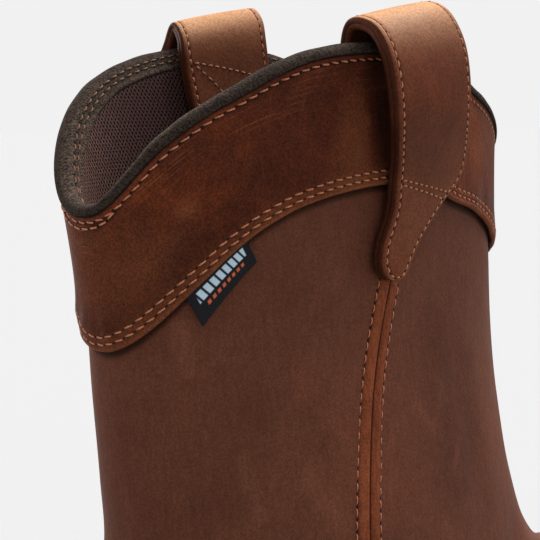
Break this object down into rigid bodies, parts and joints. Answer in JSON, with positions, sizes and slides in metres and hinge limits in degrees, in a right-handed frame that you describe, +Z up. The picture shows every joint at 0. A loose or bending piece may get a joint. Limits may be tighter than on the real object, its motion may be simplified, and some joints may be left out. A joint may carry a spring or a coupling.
{
  "type": "pull-on work boot",
  "caption": "Right pull-on leather work boot: hollow shaft with a scalloped collar panel, rolled edge, side pull straps and seams, on a welted lugged sole.",
  "frame": {"origin": "on the floor under the middle of the outsole", "axes": "+X toward the toe, +Y toward the wearer's left, the inner side of this right boot, +Z up"},
  "size_m": [0.3008, 0.1066, 0.2953],
  "materials": {
    "oiled_leather": "oiled, soft sheen",
    "collar_leather": "oiled, soft sheen",
    "strap_leather": "oiled, rubbed light on the bends",
    "edging_cloth": "matt, suede-like",
    "woven_tag": "matt weave",
    "welt_leather": "matt",
    "footbed_foam": "matt",
    "sole_rubber": "matt"
  },
  "bodies": {
    "root": {"upper": "oiled_leather", "collar_panel": "collar_leather", "collar_binding": "edging_cloth", "pull_strap_outer": "strap_leather", "pull_strap_inner": "strap_leather", "side_seam_outer": "oiled_leather", "side_seam_inner": "oiled_leather", "side_tag": "woven_tag", "welt": "welt_leather", "insole": "footbed_foam", "outsole": "sole_rubber"}
  },
  "joints": []
}
